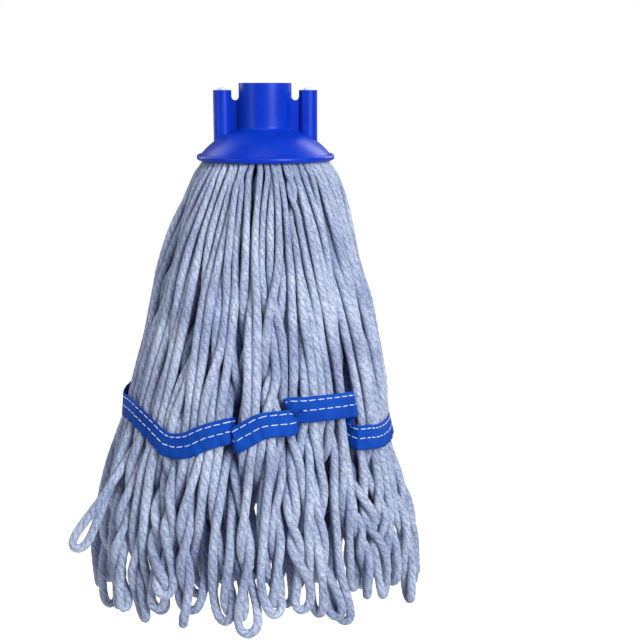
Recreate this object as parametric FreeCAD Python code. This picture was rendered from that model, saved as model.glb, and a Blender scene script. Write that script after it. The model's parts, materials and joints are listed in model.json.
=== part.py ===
"""Looped-end string mop head: a plastic handle socket, clamped yarn, a sewn tape ring and looped tassels.

Millimetres. The origin is the centre of the handle bore's mouth, +Z points up the handle, and the yarn
hangs below. Azimuth 0 is the front (-Y) and grows towards +X.
"""
import FreeCAD, Part
import math
import os
from FreeCAD import Vector

os.makedirs("parts", exist_ok=True)

# Clearances
FIT_CLEARANCE = 0.2          # prong in its post, radially
SOFT_CLEARANCE = 0.3         # soft pieces from each other and from the plastic
SWING_CLEARANCE = 0.6        # between neighbouring tassels, and from a tassel to the tape

# Handle socket
BORE_R = 14.25               # takes a 28 mm mop handle
BORE_DEPTH = 42.0
BORE_FLOOR = 2.5
TUBE_WALL = 3.0
NECK_Z = -29.5               # the dome leaves the tube here
NECK_FILLET = 1.6
DOME_DROP = 17.0             # from the neck to the rim bead's centre
DOME_CROWN = 2.6             # how far the dome bulges from a straight cone
RIM_BEYOND_POST = 15.2       # from a post's axis out to the rim
DOME_WALL = 2.5
BEAD_R = 2.1

# Side posts and webs
POST_GAP = 4.75              # between the tube and a post
POST_R = 6.0
POST_TOP_Z = -4.5
POST_FOOT_Z = -40.0
WEB_WALL = 3.0
NOTCH_FLOOR_Z = -11.0

# Yarn retainer
PRONG_R = 3.1
PRONG_PROUD = 1.7            # rounded tip above the post's top
PLATE_HALF_WIDTH = 10.0
PLATE_END_MARGIN = 5.0       # plate beyond the prong's axis
PLATE_THICK = 3.0

# Yarn above the tape: its wall, and (drop below the rim, spread beyond it) of the outer face
BUNDLES = 12
BUNDLE_WALL = 12.0
SHOULDER = [(28.0, 17.0), (58.0, 26.5), (92.0, 33.0), (126.0, 40.0), (156.0, 45.0)]
BAND_SPREAD = 48.0           # outer face of the yarn at the tape, beyond the rim

# Tape ring: a woven tape, its lower edge rising and falling round the mop
TAPE_WIDTH = 15.0
TAPE_THICK = 1.0
TAPE_DROP = 172.0            # mean drop of the lower edge below the rim
WAVE_ONCE = 4.0
WAVE_TWICE = 12.0
WAVE_PEAK_AZIMUTH = 10.0

# Stitching
STITCH_LENGTH = 4.9
STITCH_WIDTH = 0.8
STITCH_THICK = 0.4
STITCHES_PER_FACET = 4
UPPER_ROW_INSET = 2.0        # from the tape's top edge
LOWER_ROW_INSET = 8.0

# Tassels below the tape: (share of the length, spread beyond the tape) of the outer face
TASSEL_LENGTH = 124.0
TASSEL_FLARE = [(0.3, 6.0), (0.6, 14.0), (0.85, 20.0), (0.95, 17.0)]
TASSEL_FOOT_INSET = 9.0
TASSEL_WALL = 14.0
TASSEL_ROOT_WALL = 11.0
# how much longer or shorter each tassel hangs, from the front round by +X
TASSEL_EXTRA = [-6.0, 0.0, -4.0, 0.0, 3.0, -2.0, 2.0, -1.0, 4.0, 6.0, 1.0, -3.0]
# how much further out each tassel's foot leans
TASSEL_LEAN = [0.0, 0.0, 0.0, 2.0, 0.0, 0.0, 0.0, 0.0, 5.0, 12.0, 6.0, 1.0]

# Derived places
TUBE_R = BORE_R + TUBE_WALL
POST_X = TUBE_R + POST_GAP + POST_R
RIM_R = POST_X + RIM_BEYOND_POST
TUBE_FOOT_Z = -(BORE_DEPTH + BORE_FLOOR)
RIM_Z = NECK_Z - DOME_DROP
SECTOR = 360.0 / BUNDLES
HALF_SECTOR = math.radians(SECTOR / 2)
CORE_FLOOR_Z = TUBE_FOOT_Z + SOFT_CLEARANCE
PLATE_TOP_Z = TUBE_FOOT_Z - SOFT_CLEARANCE
YARN_TOP_Z = RIM_Z - SOFT_CLEARANCE
PLATE_END = POST_X + PLATE_END_MARGIN
BEAD_Z = RIM_Z - BEAD_R / 2
ROOT_FACE = (RIM_R - max(BEAD_R, DOME_WALL) - SOFT_CLEARANCE) * math.cos(HALF_SECTOR)
BUNDLE_ROOT_WALL = ROOT_FACE - PLATE_END - SOFT_CLEARANCE
BAND_FACE = ROOT_FACE + BAND_SPREAD
TAPE_INNER = BAND_FACE + SOFT_CLEARANCE
TAPE_OUTER = TAPE_INNER + TAPE_THICK


def revolve(points_or_edges):
    """Turn a closed outline in the XZ plane about Z."""
    face = Part.Face(Part.Wire(points_or_edges))
    return face.revolve(Vector(0, 0, 0), Vector(0, 0, 1), 360)


def line(a, b):
    """A straight edge between two (r, z) points."""
    return Part.LineSegment(Vector(a[0], 0, a[1]), Vector(b[0], 0, b[1])).toShape()


def arc(a, b, c):
    """A circular edge through three (r, z) points."""
    return Part.Arc(*[Vector(p[0], 0, p[1]) for p in (a, b, c)]).toShape()


def outward(azimuth):
    """The horizontal unit vector that points away from the axis at this azimuth, in degrees."""
    turn = math.radians(azimuth)
    return Vector(math.sin(turn), -math.cos(turn), 0)


def polyhedron(faces):
    """A closed solid from a list of flat faces, each a list of corners."""
    flats = [Part.Face(Part.makePolygon(corners + [corners[0]])) for corners in faces]
    solid = Part.makeSolid(Part.makeShell(flats))
    if solid.Volume < 0:
        solid.reverse()
    return solid


def crowned(a, b, crown):
    """The middle of a line from a to b, pushed out to its upper side by crown."""
    dr, dz = b[0] - a[0], b[1] - a[1]
    size = math.hypot(dr, dz)
    return (a[0] + b[0]) / 2 - crown * dz / size, (a[1] + b[1]) / 2 + crown * dr / size


def dome_body(shrink):
    """The solid under the dome's outer face, or under a face shrunk evenly by shrink."""
    top = (TUBE_R, NECK_Z - shrink)
    rim = (RIM_R - shrink, RIM_Z - BEAD_R)
    shoulder = (RIM_R - shrink, RIM_Z)
    middle = crowned(top, shoulder, DOME_CROWN)
    outline = [line((0, top[1]), top), arc(top, middle, shoulder), line(shoulder, rim)]
    outline += [line(rim, (0, rim[1])), line((0, rim[1]), (0, top[1]))]
    return revolve(outline)


def neck_fillet():
    """The concave ring that blends the tube into the dome."""
    foot_r = TUBE_R + NECK_FILLET
    high, low = (TUBE_R, NECK_Z + NECK_FILLET), (foot_r, NECK_Z - NECK_FILLET / 4)
    middle = (TUBE_R + NECK_FILLET * 0.3, NECK_Z + NECK_FILLET * 0.2)
    inside = (TUBE_R - TUBE_WALL / 2, NECK_Z + NECK_FILLET)
    below = (TUBE_R - TUBE_WALL / 2, NECK_Z - DOME_WALL / 2)
    toe = (foot_r, NECK_Z - DOME_WALL / 2)
    return revolve([arc(high, middle, low), line(low, toe), line(toe, below), line(below, inside),
                    line(inside, high)])


def cylinder(radius, top_z, foot_z, x=0.0):
    """An upright cylinder between two heights."""
    return Part.makeCylinder(radius, top_z - foot_z, Vector(x, 0, foot_z))


def make_socket():
    """The moulding: tube with a blind bore, dome with a rolled rim, two hollow posts and their webs."""
    shell = dome_body(0.0).cut(dome_body(DOME_WALL))
    bead = Part.makeTorus(RIM_R, BEAD_R, Vector(0, 0, BEAD_Z))
    body = shell.fuse([bead, neck_fillet(), cylinder(TUBE_R, 0.0, TUBE_FOOT_Z)])
    hole_r = PRONG_R + FIT_CLEARANCE
    notch_x = TUBE_R + POST_GAP / 2
    for side in (-1, 1):
        post = cylinder(POST_R, POST_TOP_Z, POST_FOOT_Z, side * POST_X)
        web_top = NOTCH_FLOOR_Z + POST_GAP / 2
        web = Part.makeBox(POST_X, WEB_WALL, web_top - POST_FOOT_Z, Vector(0, -WEB_WALL / 2, POST_FOOT_Z))
        notch = Part.makeCylinder(POST_GAP / 2, 2 * WEB_WALL, Vector(notch_x, -WEB_WALL, web_top),
                                  Vector(0, 1, 0))
        web = web.cut(notch)
        if side < 0:
            web = web.mirror(Vector(0, 0, 0), Vector(1, 0, 0))
        body = body.fuse([post, web])
    for side in (-1, 1):
        body = body.cut(cylinder(hole_r, POST_TOP_Z + 1, POST_FOOT_Z - 1, side * POST_X))
    return body.cut(cylinder(BORE_R, 1.0, -BORE_DEPTH)).removeSplitter()


def make_retainer():
    """The plate that holds the folded yarn up, with two prongs that rise through the posts."""
    run = 2 * (PLATE_END - PLATE_HALF_WIDTH)
    foot_z = PLATE_TOP_Z - PLATE_THICK
    plate = Part.makeBox(run, 2 * PLATE_HALF_WIDTH, PLATE_THICK, Vector(-run / 2, -PLATE_HALF_WIDTH, foot_z))
    pieces = []
    for side in (-1, 1):
        pieces.append(cylinder(PLATE_HALF_WIDTH, PLATE_TOP_Z, foot_z, side * run / 2))
        shank_top = POST_TOP_Z + PRONG_PROUD - PRONG_R / 2
        prong = cylinder(PRONG_R, shank_top, foot_z, side * POST_X)
        tip = Part.makeSphere(PRONG_R, Vector(side * POST_X, 0, 0))
        squash = FreeCAD.Matrix()
        squash.scale(1.0, 1.0, 0.5)
        tip = tip.transformGeometry(squash)
        tip.translate(Vector(0, 0, shank_top))
        pieces += [prong, tip]
    return plate.fuse(pieces).removeSplitter()


def make_core():
    """The folded middle of the yarn, a flat ring clamped between the dome and the plate."""
    top_z = POST_FOOT_Z - SOFT_CLEARANCE
    ring = cylinder(RIM_R, top_z, CORE_FLOOR_Z).common(dome_body(DOME_WALL + SOFT_CLEARANCE))
    ring = ring.cut(cylinder(TUBE_R + SOFT_CLEARANCE, top_z + 1, CORE_FLOOR_Z - 1))
    for side in (-1, 1):
        ring = ring.cut(cylinder(PRONG_R + SOFT_CLEARANCE, top_z + 1, CORE_FLOOR_Z - 1, side * POST_X))
    return ring


def tape_low_z(azimuth):
    """Height of the tape's lower edge: once and twice round waves about its mean drop."""
    turn = math.radians(azimuth - WAVE_PEAK_AZIMUTH)
    return RIM_Z - TAPE_DROP + WAVE_ONCE * math.cos(turn) + WAVE_TWICE * math.cos(2 * turn)


def hinge_z(index):
    """Height of a tassel's bend: just below the lowest point of the tape over that tassel."""
    azimuths = [SECTOR * (index + shift) for shift in (-0.5, 0.0, 0.5)]
    return min(tape_low_z(a) for a in azimuths) - SWING_CLEARANCE


def wedge(profile, index):
    """Carry an (r, z) outline sideways and trim it to its own sector, a clearance off both sides."""
    widest = max(r for r, z in profile)
    half = widest * math.tan(HALF_SECTOR)
    corners = [Vector(-half, -r, z) for r, z in profile]
    slab = Part.Face(Part.makePolygon(corners + [corners[0]])).extrude(Vector(2 * half, 0, 0))
    low = min(z for r, z in profile) - 1
    high = max(z for r, z in profile) + 1
    set_back = SWING_CLEARANCE / 2 / math.sin(HALF_SECTOR)
    reach = widest + set_back
    apex = Vector(0, -set_back, low)
    left = Vector(-reach * math.tan(HALF_SECTOR), -set_back - reach, low)
    right = Vector(reach * math.tan(HALF_SECTOR), -set_back - reach, low)
    trim = Part.Face(Part.makePolygon([apex, left, right, apex])).extrude(Vector(0, 0, high - low))
    piece = slab.common(trim)
    piece.rotate(Vector(0, 0, 0), Vector(0, 0, 1), SECTOR * index)
    return piece


def make_bundle(index):
    """One bundle of yarn from the rim down to its bend below the tape."""
    foot_z = hinge_z(index) + SWING_CLEARANCE
    outer = [(ROOT_FACE, YARN_TOP_Z), (ROOT_FACE, RIM_Z - 2 * BEAD_R)]
    outer += [(ROOT_FACE + spread, RIM_Z - drop) for drop, spread in SHOULDER]
    outer.append((BAND_FACE, foot_z))
    inner = [(BAND_FACE - BUNDLE_WALL, foot_z)]
    inner += [(ROOT_FACE + spread - BUNDLE_WALL, RIM_Z - drop) for drop, spread in reversed(SHOULDER)]
    inner += [(ROOT_FACE - BUNDLE_ROOT_WALL, RIM_Z - 2 * BEAD_R), (ROOT_FACE - BUNDLE_ROOT_WALL, YARN_TOP_Z)]
    return wedge(outer + inner, index)


def make_tassel(index):
    """The looped yarn ends of one bundle, hanging from the bend below the tape."""
    top_z = hinge_z(index)
    length = top_z - (RIM_Z - TAPE_DROP - TASSEL_LENGTH) + TASSEL_EXTRA[index]
    face = BAND_FACE - SOFT_CLEARANCE
    flare = [(share, spread + share * TASSEL_LEAN[index]) for share, spread in TASSEL_FLARE]
    outer = [(face, top_z)]
    outer += [(face + spread, top_z - share * length) for share, spread in flare]
    foot_r = face + flare[-1][1] - TASSEL_FOOT_INSET
    inner = [(foot_r, top_z - length)]
    for share, spread in reversed(flare[:-1]):
        inner.append((face + spread - TASSEL_WALL, top_z - share * length))
    inner.append((face - TASSEL_ROOT_WALL, top_z))
    return wedge(outer + inner, index)


def tape_corner(step, radius, height):
    """A corner of the tape ring, on the flat faces of the bundles and on the edges between them."""
    azimuth = SECTOR * step / 2
    stretch = 1.0 if step % 2 == 0 else 1 / math.cos(HALF_SECTOR)
    point = outward(azimuth) * (radius * stretch)
    point.z = tape_low_z(azimuth) + height
    return point


def make_tape():
    """The closed ring of woven tape."""
    faces = []
    for step in range(2 * BUNDLES):
        corners = {}
        for end in (0, 1):
            for face, radius in (("in", TAPE_INNER), ("out", TAPE_OUTER)):
                for edge, height in (("low", 0.0), ("top", TAPE_WIDTH)):
                    corners[face, edge, end] = tape_corner((step + end) % (2 * BUNDLES), radius, height)
        for face in ("in", "out"):
            faces.append([corners[face, "low", 0], corners[face, "low", 1], corners[face, "top", 1],
                          corners[face, "top", 0]])
        for edge in ("low", "top"):
            faces.append([corners["in", edge, 0], corners["out", edge, 0], corners["out", edge, 1]])
            faces.append([corners["in", edge, 0], corners["out", edge, 1], corners["in", edge, 1]])
    return polyhedron(faces)


def make_stitches(inset):
    """One row of running stitches on the tape's outer face, a group of separate short threads."""
    stitches = []
    height = TAPE_WIDTH - inset
    for step in range(2 * BUNDLES):
        start = tape_corner(step, TAPE_OUTER, height)
        end = tape_corner((step + 1) % (2 * BUNDLES), TAPE_OUTER, height)
        along = (end - start).normalize()
        out = Vector(along.y, -along.x, 0).normalize()
        up = out.cross(along) * (-1 if out.cross(along).z < 0 else 1)
        run = (end - start).Length
        for number in range(STITCHES_PER_FACET):
            middle = start + along * (run * (number + 0.5) / STITCHES_PER_FACET)
            base = middle - along * (STITCH_LENGTH / 2) - up * (STITCH_WIDTH / 2)
            corners = [base, base + along * STITCH_LENGTH, base + along * STITCH_LENGTH + up * STITCH_WIDTH,
                       base + up * STITCH_WIDTH]
            stitches.append(Part.Face(Part.makePolygon(corners + [base])).extrude(out * STITCH_THICK))
    return Part.makeCompound(stitches)


def save(name, shape):
    """Write one sub-part and print its size."""
    shape.exportStep("parts/" + name + ".step")
    box = shape.BoundBox
    print(f"{name}: {len(shape.Solids)} solids, {shape.Volume / 1000:.2f} cm3, valid {shape.isValid()},"
          f" z {box.ZMin:.1f} to {box.ZMax:.1f}")


save("socket", make_socket())
save("yarn_retainer", make_retainer())
save("yarn_core", make_core())
save("tail_band", make_tape())
save("stitch_row_upper", make_stitches(UPPER_ROW_INSET))
save("stitch_row_lower", make_stitches(LOWER_ROW_INSET))
for i in range(BUNDLES):
    save(f"yarn_bundle_{i + 1:02d}", make_bundle(i))
    save(f"tassel_{i + 1:02d}", make_tassel(i))
    pivot = outward(SECTOR * i) * TAPE_OUTER
    print(f"  bend {i + 1:02d}: ({pivot.x:.3f}, {pivot.y:.3f}, {hinge_z(i):.3f})")
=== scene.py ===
# %% [markdown]
# # A looped-end string mop head
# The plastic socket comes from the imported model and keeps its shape. The soft parts are made here: 108 long
# strands of plied yarn, each a loop whose two legs hang from the socket, the woven tape that is sewn round
# them, and its stitching. The yarn comes first, because everything else is placed against it.

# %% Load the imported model
import json
import math
import bpy
import numpy as np
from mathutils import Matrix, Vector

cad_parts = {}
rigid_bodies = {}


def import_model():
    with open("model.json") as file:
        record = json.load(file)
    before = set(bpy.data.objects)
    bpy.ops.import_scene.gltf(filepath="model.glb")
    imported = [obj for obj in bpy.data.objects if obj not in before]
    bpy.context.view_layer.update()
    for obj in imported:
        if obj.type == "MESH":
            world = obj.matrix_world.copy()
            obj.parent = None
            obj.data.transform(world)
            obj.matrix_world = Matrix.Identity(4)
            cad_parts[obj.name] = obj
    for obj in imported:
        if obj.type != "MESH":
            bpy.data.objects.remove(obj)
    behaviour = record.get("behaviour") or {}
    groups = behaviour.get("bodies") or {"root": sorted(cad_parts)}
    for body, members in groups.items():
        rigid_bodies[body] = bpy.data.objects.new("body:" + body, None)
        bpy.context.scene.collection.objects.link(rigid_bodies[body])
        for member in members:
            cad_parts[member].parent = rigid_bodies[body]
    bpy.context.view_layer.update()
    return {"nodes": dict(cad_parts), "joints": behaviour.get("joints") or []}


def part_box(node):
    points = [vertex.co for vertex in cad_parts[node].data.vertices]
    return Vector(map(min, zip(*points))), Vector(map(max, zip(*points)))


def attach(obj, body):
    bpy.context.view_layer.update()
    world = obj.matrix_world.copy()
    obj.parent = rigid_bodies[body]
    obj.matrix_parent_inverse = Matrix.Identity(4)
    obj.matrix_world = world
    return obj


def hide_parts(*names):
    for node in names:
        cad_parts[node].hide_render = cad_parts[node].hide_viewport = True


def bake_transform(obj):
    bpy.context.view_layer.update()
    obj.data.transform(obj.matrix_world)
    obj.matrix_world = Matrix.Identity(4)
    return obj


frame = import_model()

MM = 0.001

# %% [markdown]
# ## Camera
# The eye is almost level with the top of the socket and looks down at the mop by about twelve degrees, from
# three quarters of a metre, so the rim and the tape curve the way a round thing does when seen from above.

# %% Camera
EYE = np.array([35.8, -732.4, -5.7]) * MM
LOOK_DOWN = math.radians(11.71)
FOCAL_MM = 61.9                     # on a 36 mm wide sensor

camera_data = bpy.data.cameras.new("camera")
camera_data.lens = FOCAL_MM
camera_data.sensor_width = 36.0
camera = bpy.data.objects.new("camera", camera_data)
camera.location = EYE
camera.rotation_euler = (math.pi / 2 - LOOK_DOWN, 0.0, 0.0)
bpy.context.scene.collection.objects.link(camera)
bpy.context.scene.camera = camera

# %% [markdown]
# ## Sizes that everything soft shares
# The rim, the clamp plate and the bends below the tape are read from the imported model. The yarn is about
# 5.7 mm thick. Each of the 12 tassels has 9 loops, so 18 legs, and 216 legs go round the whole mop.

# %% Shared sizes
YARN_R = 2.85 * MM
LOOPS_EACH = 9
bends = np.array([j["pos_m"] for j in frame["joints"]])
tassel_nodes = [f"tassel_{k + 1:02d}" for k in range(len(bends))]
bundle_nodes = [f"yarn_bundle_{k + 1:02d}" for k in range(len(bends))]
HEAD = frame["joints"][0]["parent"]
TASSELS = len(bends)
LEGS_EACH = 2 * LOOPS_EACH
LEGS = TASSELS * LEGS_EACH
SECTOR = 2 * math.pi / TASSELS

socket_low, socket_high = [np.array(p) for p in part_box("socket")]
plate_high = np.array(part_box("yarn_retainer")[1])
tape_low, tape_high = [np.array(p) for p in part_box("tail_band")]
RIM_Z = socket_low[2]
RIM_R = socket_high[0]
TAPE_Z = (tape_low[2] + tape_high[2]) / 2
rng = np.random.default_rng(134)
print(f"{LEGS} legs, rim radius {RIM_R / MM:.1f} mm, tape at z {TAPE_Z / MM:.1f} mm")

# %% [markdown]
# ## The shape of the whole bundle
# From the rim the yarn swells out like a bell, leans a little to the left, and is widest just above the
# ends of the loops. One list of stations says how wide the bundle is and how far its middle has moved. A
# smooth curve through the stations gives both at any height, for whole arrays of points at once.

# %% The bell
# drop below the rim, outer radius, sideways shift of the middle, all in millimetres
BELL = np.array([
    (-12, 38.5, 0), (-3, 39.6, 0), (0, 40.6, 0), (3, 43.0, 0), (7, 46.6, 0), (13, 50.5, 0),
    (25, 57, -1), (42, 62.5, -3), (60, 66.5, -4), (92, 74, -3.5), (125, 83, -3.5), (155, 91, -5.8),
    (172, 92.5, -8), (196, 97, -11), (230, 101, -11), (262, 104, -9), (290, 104, -7), (320, 100, -6)]) * MM


def smooth_lookup(x, stations, values):
    """Values between stations, from a cubic on each span. Its slope at a station is worked out from the
    stations on either side."""
    slope = np.gradient(values, stations)
    span = np.clip(np.searchsorted(stations, x) - 1, 0, len(stations) - 2)
    width = stations[span + 1] - stations[span]
    t = np.clip((x - stations[span]) / width, 0, 1)
    a, b = values[span], values[span + 1]
    rise = (1 + 2 * t) * (1 - t) ** 2 * a + t * t * (3 - 2 * t) * b
    return rise + width * (t * (1 - t) ** 2 * slope[span] - t * t * (1 - t) * slope[span + 1])


def bell_radius(z):
    """Outer radius of the bundle at height z."""
    return smooth_lookup(RIM_Z - z, BELL[:, 0], BELL[:, 1])


def bell_shift(z):
    """How far along X the middle of the bundle has moved at height z."""
    return smooth_lookup(RIM_Z - z, BELL[:, 0], BELL[:, 2])


def on_bell(azimuth, radius, z):
    """Points at an azimuth (0 is the front, -Y, growing towards +X) and radius about the shifted middle."""
    x = bell_shift(z) + radius * np.sin(azimuth)
    return np.stack([x, -radius * np.cos(azimuth), z + 0 * radius], axis=-1)


print("width at the tape:", round(2 * float(bell_radius(TAPE_Z)) / MM), "mm")

# %% [markdown]
# ## The route of the tape
# The tape is one woven ribbon, sewn to the yarn while it lay flat and then closed into a ring, so it is too
# long for the ring and folds in on itself. The route is a short list of stations: azimuth, how far the tape
# sinks into the yarn, and its height. Where it sinks deep it makes a pleat, and where the azimuth turns
# back it folds over itself in a flat Z.

# %% Tape route
TAPE_WIDTH = 16.0 * MM
TAPE_THICK = 0.9 * MM
# azimuth in degrees, sink and height in millimetres
TAPE_STATIONS = np.array([
    (-101, 1.0, -2), (-90, 0.0, -3), (-79, 0.0, -2.4), (-66, 0.0, 0.5), (-57, 0.0, -0.5), (-46, 0.5, -5),
    (-35, 0.0, -11.5), (-26, 0.0, -10.5), (-18, 0.0, -4), (-11, 0.3, 0), (-8.4, 2.2, 0.8),
    (-7.4, 10, -1.5), (-6.2, 2.0, -5), (-3, 0.4, -2), (4, 0.0, 4.3), (11, -0.4, 5.6), (15.6, -0.3, 5.8),
    (17.5, 0.6, 6.6), (16.6, 1.6, 8), (14.8, 2.1, 10), (13.4, 2.9, 11.4), (14.6, 3.9, 12),
    (17.5, 3.4, 12.1), (22, 1.2, 12.3), (29, 0.0, 12.4), (37, 0.0, 11.8), (43.5, 0.4, 11),
    (46.2, 2.0, 10.6), (46.8, 6, 9), (47.0, 12, 3), (47.6, 15, -4), (48.6, 11, -11), (48.8, 5, -12.6),
    (49.6, 1.6, -13), (54, 0.2, -14), (63, 0.0, -17), (74, 0.0, -18.6), (88, 0.0, -20), (100, 0.3, -19),
    (113, 0.0, -16), (126, 0.5, -12), (132, 2.0, -11), (133.6, 10, -12.5), (135.4, 2.0, -15),
    (146, 0.0, -13), (160, 0.0, -8), (176, 0.0, -3), (186, 1.8, -1), (187.6, 10, -3), (189.4, 2.0, -6),
    (200, 0.0, -8.5), (215, 0.0, -11), (229, 0.4, -10.5), (236, 2.0, -9), (237.6, 9.5, -7),
    (239.4, 1.6, -4.5), (249, 0.2, -2.5)])
TAPE_STEPS = 1600


def closed_curve(points, count):
    """Evenly many points on a smooth closed curve through the stations, by periodic cubic spans whose slope
    at a station is half the way from the one before to the one after."""
    before, after = np.roll(points, 1, axis=0), np.roll(points, -1, axis=0)
    slope = (after - before) / 2
    where = np.arange(count) * len(points) / count
    span = where.astype(int)
    t = (where - span)[:, None]
    a, b = points[span], after[span]
    rise = (1 + 2 * t) * (1 - t) ** 2 * a + t * t * (3 - 2 * t) * b
    return rise + t * (1 - t) ** 2 * slope[span] - t * t * (1 - t) * np.roll(slope, -1, axis=0)[span]


def even_steps(path, count, closed=False):
    """The same path with its points an equal distance apart."""
    line = np.vstack([path, path[:1]]) if closed else path
    run = np.concatenate([[0.0], np.cumsum(np.linalg.norm(np.diff(line, axis=0), axis=1))])
    at = np.linspace(0, run[-1], count, endpoint=not closed)
    return np.stack([np.interp(at, run, line[:, k]) for k in range(3)], axis=1), run[-1]


station_az = np.radians(TAPE_STATIONS[:, 0])
station_z = TAPE_Z + TAPE_STATIONS[:, 2] * MM
station_r = bell_radius(station_z) - TAPE_STATIONS[:, 1] * MM
tape_path = closed_curve(on_bell(station_az, station_r, station_z), 4 * TAPE_STEPS)
tape_path, TAPE_LENGTH = even_steps(tape_path, TAPE_STEPS, closed=True)
print(f"tape: {TAPE_LENGTH / MM:.0f} mm long, {TAPE_WIDTH / MM:.0f} mm wide")

# %% [markdown]
# ## What the tape leaves for the yarn
# The yarn has to lie inside the tape, even where it makes a pleat. The circle is cut into 720 narrow
# sectors. For each, a table keeps the tape's smallest radius, the height of its outermost layer and how
# deep a pleat cuts in. The heights are smoothed over a few sectors, so that a fold doesn't make them jump.

# %% Room inside the tape
ENVELOPE_BINS = 720
PLEAT_MOST = 9 * MM                 # above and below the tape, yarn follows a pleat no deeper than this
TAPE_SIGHT = math.radians(2.1)      # how far to each side of a sector the tape is looked for
tape_mid = bell_shift(tape_path[:, 2])
tape_azimuth = np.arctan2(tape_path[:, 0] - tape_mid, -tape_path[:, 1])
tape_radius = np.hypot(tape_path[:, 0] - tape_mid, tape_path[:, 1])
bin_azimuth = (np.arange(ENVELOPE_BINS) + 0.5) * 2 * math.pi / ENVELOPE_BINS - math.pi
gap = np.abs((bin_azimuth[:, None] - tape_azimuth[None, :] + math.pi) % (2 * math.pi) - math.pi)
near = gap < TAPE_SIGHT
tape_inside = np.where(near, tape_radius[None, :], 1.0).min(axis=1)
outermost = np.where(near, tape_radius[None, :], 0.0).argmax(axis=1)
tape_height = tape_path[outermost, 2]
pleats = np.clip(bell_radius(tape_height) - tape_inside - 2 * MM, 0, PLEAT_MOST)
soft_window = np.hanning(9) / np.hanning(9).sum()
tape_height = np.convolve(np.tile(tape_height, 3), soft_window, "same")[ENVELOPE_BINS:2 * ENVELOPE_BINS]


def at_azimuth(table, azimuth):
    """A table of values round the ring, looked up at any azimuth."""
    place = ((azimuth + math.pi) / (2 * math.pi) * ENVELOPE_BINS - 0.5) % ENVELOPE_BINS
    low = place.astype(int) % ENVELOPE_BINS
    share = place - np.floor(place)
    return table[low] * (1 - share) + table[(low + 1) % ENVELOPE_BINS] * share


print("deepest pleat:", round(float(bell_radius(TAPE_Z) - tape_inside.min()) / MM, 1), "mm")

# %% [markdown]
# ## Where each leg starts, and which legs belong together
# Inside the rim the legs stand squeezed together in rings round the clamp plate. At the tape they are
# spread round a ring one or two legs deep. Sorting both by azimuth and pairing them off in order gives each
# leg a short, natural way down. Two legs of the same tassel are then joined into one loop, not always
# next-door neighbours, so that loops cross as they do on a real mop.

# %% Roots and slots
# radius of the ring, height where its legs start, legs in it: the dome is lower towards the rim
ROOT_RINGS = [(38.4, -47.8, 66), (34.9, -45.4, 46), (31.4, -42.9, 40), (27.9, -40.6, 34), (24.4, -39.0, 30)]
PLATE_KEEP_OUT = 2.2 * MM
ROOT_R = 1.78 * MM


def ring_of_roots(number, radius, height, count):
    """Roots evenly round one ring, on the part of it that the clamp plate leaves free."""
    azimuth = np.linspace(-math.pi, math.pi, 3600, endpoint=False)
    x, y = radius * np.sin(azimuth), -radius * np.cos(azimuth)
    free = (np.abs(x) > plate_high[0] + PLATE_KEEP_OUT) | (np.abs(y) > plate_high[1] + PLATE_KEEP_OUT)
    azimuth = azimuth[free]
    pick = ((np.arange(count) + 0.5) / count * len(azimuth)).astype(int)
    rows = [azimuth[pick]] + [np.full(count, value) for value in (radius, height, number)]
    return np.stack(rows + [np.arange(count)], axis=1)


roots = np.vstack([ring_of_roots(k, r * MM, z * MM, n) for k, (r, z, n) in enumerate(ROOT_RINGS)])
first_edge = -SECTOR / 2
roots[:, 0] = (roots[:, 0] - first_edge) % (2 * math.pi) + first_edge
roots = roots[np.argsort(roots[:, 0])]

slot_azimuth = first_edge + (np.arange(LEGS) + 0.5) * 2 * math.pi / LEGS
slot_azimuth = slot_azimuth + rng.uniform(-0.25, 0.25, LEGS) * 2 * math.pi / LEGS
layer = np.zeros(LEGS)
for start in range(0, LEGS, LOOPS_EACH):    # of nine neighbours, the five rooted nearest the middle go behind
    layer[start + np.argsort(roots[start:start + LOOPS_EACH, 1])[:5]] = 1.0

# strays: loop number, how far its end kicks outwards, how much shorter it hangs, in millimetres
STRAYS = [(94, 27, 44), (87, 3, 4), (34, 8, 2), (20, 5, -2)]
WIDE_EYE = 94
LOOP_PAIRS = np.array([(0, 2), (1, 4), (3, 5), (6, 8), (7, 10), (9, 11), (12, 14), (13, 16), (15, 17)])
pairs = np.concatenate([LOOP_PAIRS + k * LEGS_EACH for k in range(TASSELS)])
LOOPS = len(pairs)
loop_tassel = np.repeat(np.arange(TASSELS), LOOPS_EACH)
print(LOOPS, "loops;", int(layer.sum()), "legs behind the others at the tape")

# %% [markdown]
# ## A first route for every loop
# A leg goes from its root to its slot at the tape, then down into its tassel, which draws together below
# the tape. Near the end the two legs of a loop wind round each other and part again into an eye. All loops
# are computed together, as arrays with one row per loop.

# %% Sizes of the routes
UPPER_STEPS = 34
LOWER_STEPS = 25
TURN_STEPS = 7
# for each tassel: how far it moves round and outwards at its foot, and how much longer it hangs, in mm
TASSEL_PULL = np.array([
    (0, 0), (1, 1), (4, 1), (-4, 12), (0, 2), (-3, 0), (2, 1), (0, 0), (3, 2), (-2, 9), (3, 8), (-1, 1)]) * MM
TASSEL_HANG = np.array([0, 3, 0, 12, 8, 4, 6, 3, 10, 13, 9, 0]) * MM
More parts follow.
